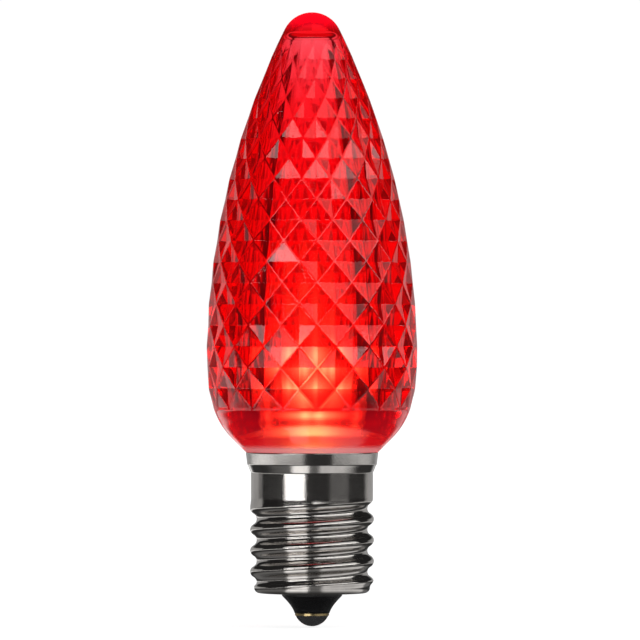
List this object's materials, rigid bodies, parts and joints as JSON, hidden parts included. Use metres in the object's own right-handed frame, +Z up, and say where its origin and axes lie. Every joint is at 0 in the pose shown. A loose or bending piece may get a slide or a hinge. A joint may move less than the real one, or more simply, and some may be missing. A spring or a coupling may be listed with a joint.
{
  "type": "christmas light bulb",
  "caption": "Faceted red candle-shaped LED lamp with a moulded lens on a small threaded metal screw cap, for a decorative light string.",
  "frame": {"origin": "lowest point of the centre contact, on the lamp's axis", "axes": "+Z up the axis towards the tip of the lens, -Y towards the side that the picture shows, +X to its right"},
  "size_m": [0.0284, 0.0284, 0.0824],
  "materials": {
    "lens_red": "clear red moulded plastic, polished",
    "nickel_shell": "bright nickel plate on drawn brass",
    "black_glass": "glossy moulded black glass",
    "contact_brass": "bright",
    "solder": "bright run solder",
    "adhesive": "cured resin",
    "white_plastic": "white moulded plastic",
    "white_board": "white solder mask",
    "green_board": "green solder mask",
    "resistor_blue": "blue lacquer",
    "capacitor_sleeve": "shrunk sleeve",
    "black_plastic": "moulded resin",
    "tinned_wire": "tinned copper",
    "led_resin": "clear resin"
  },
  "bodies": {
    "root": {"lens": "lens_red", "screw_shell": "nickel_shell", "insulator": "black_glass", "centre_contact": "contact_brass", "contact_solder": "solder", "neck_adhesive": "adhesive", "board_holder": "white_plastic", "led_board": "white_board", "driver_board": "green_board", "fuse_resistor": "resistor_blue", "smoothing_capacitor": "capacitor_sleeve", "bridge_rectifier": "black_plastic", "limit_resistor_1": "black_plastic", "limit_resistor_2": "black_plastic", "shell_lead": "tinned_wire", "shell_solder": "solder", "board_link_1": "tinned_wire", "board_link_2": "tinned_wire", "led_housing_1": "white_plastic", "led_housing_2": "white_plastic", "led_housing_3": "white_plastic", "led_encapsulant_1": "led_resin", "led_encapsulant_2": "led_resin", "led_encapsulant_3": "led_resin"}
  },
  "joints": []
}
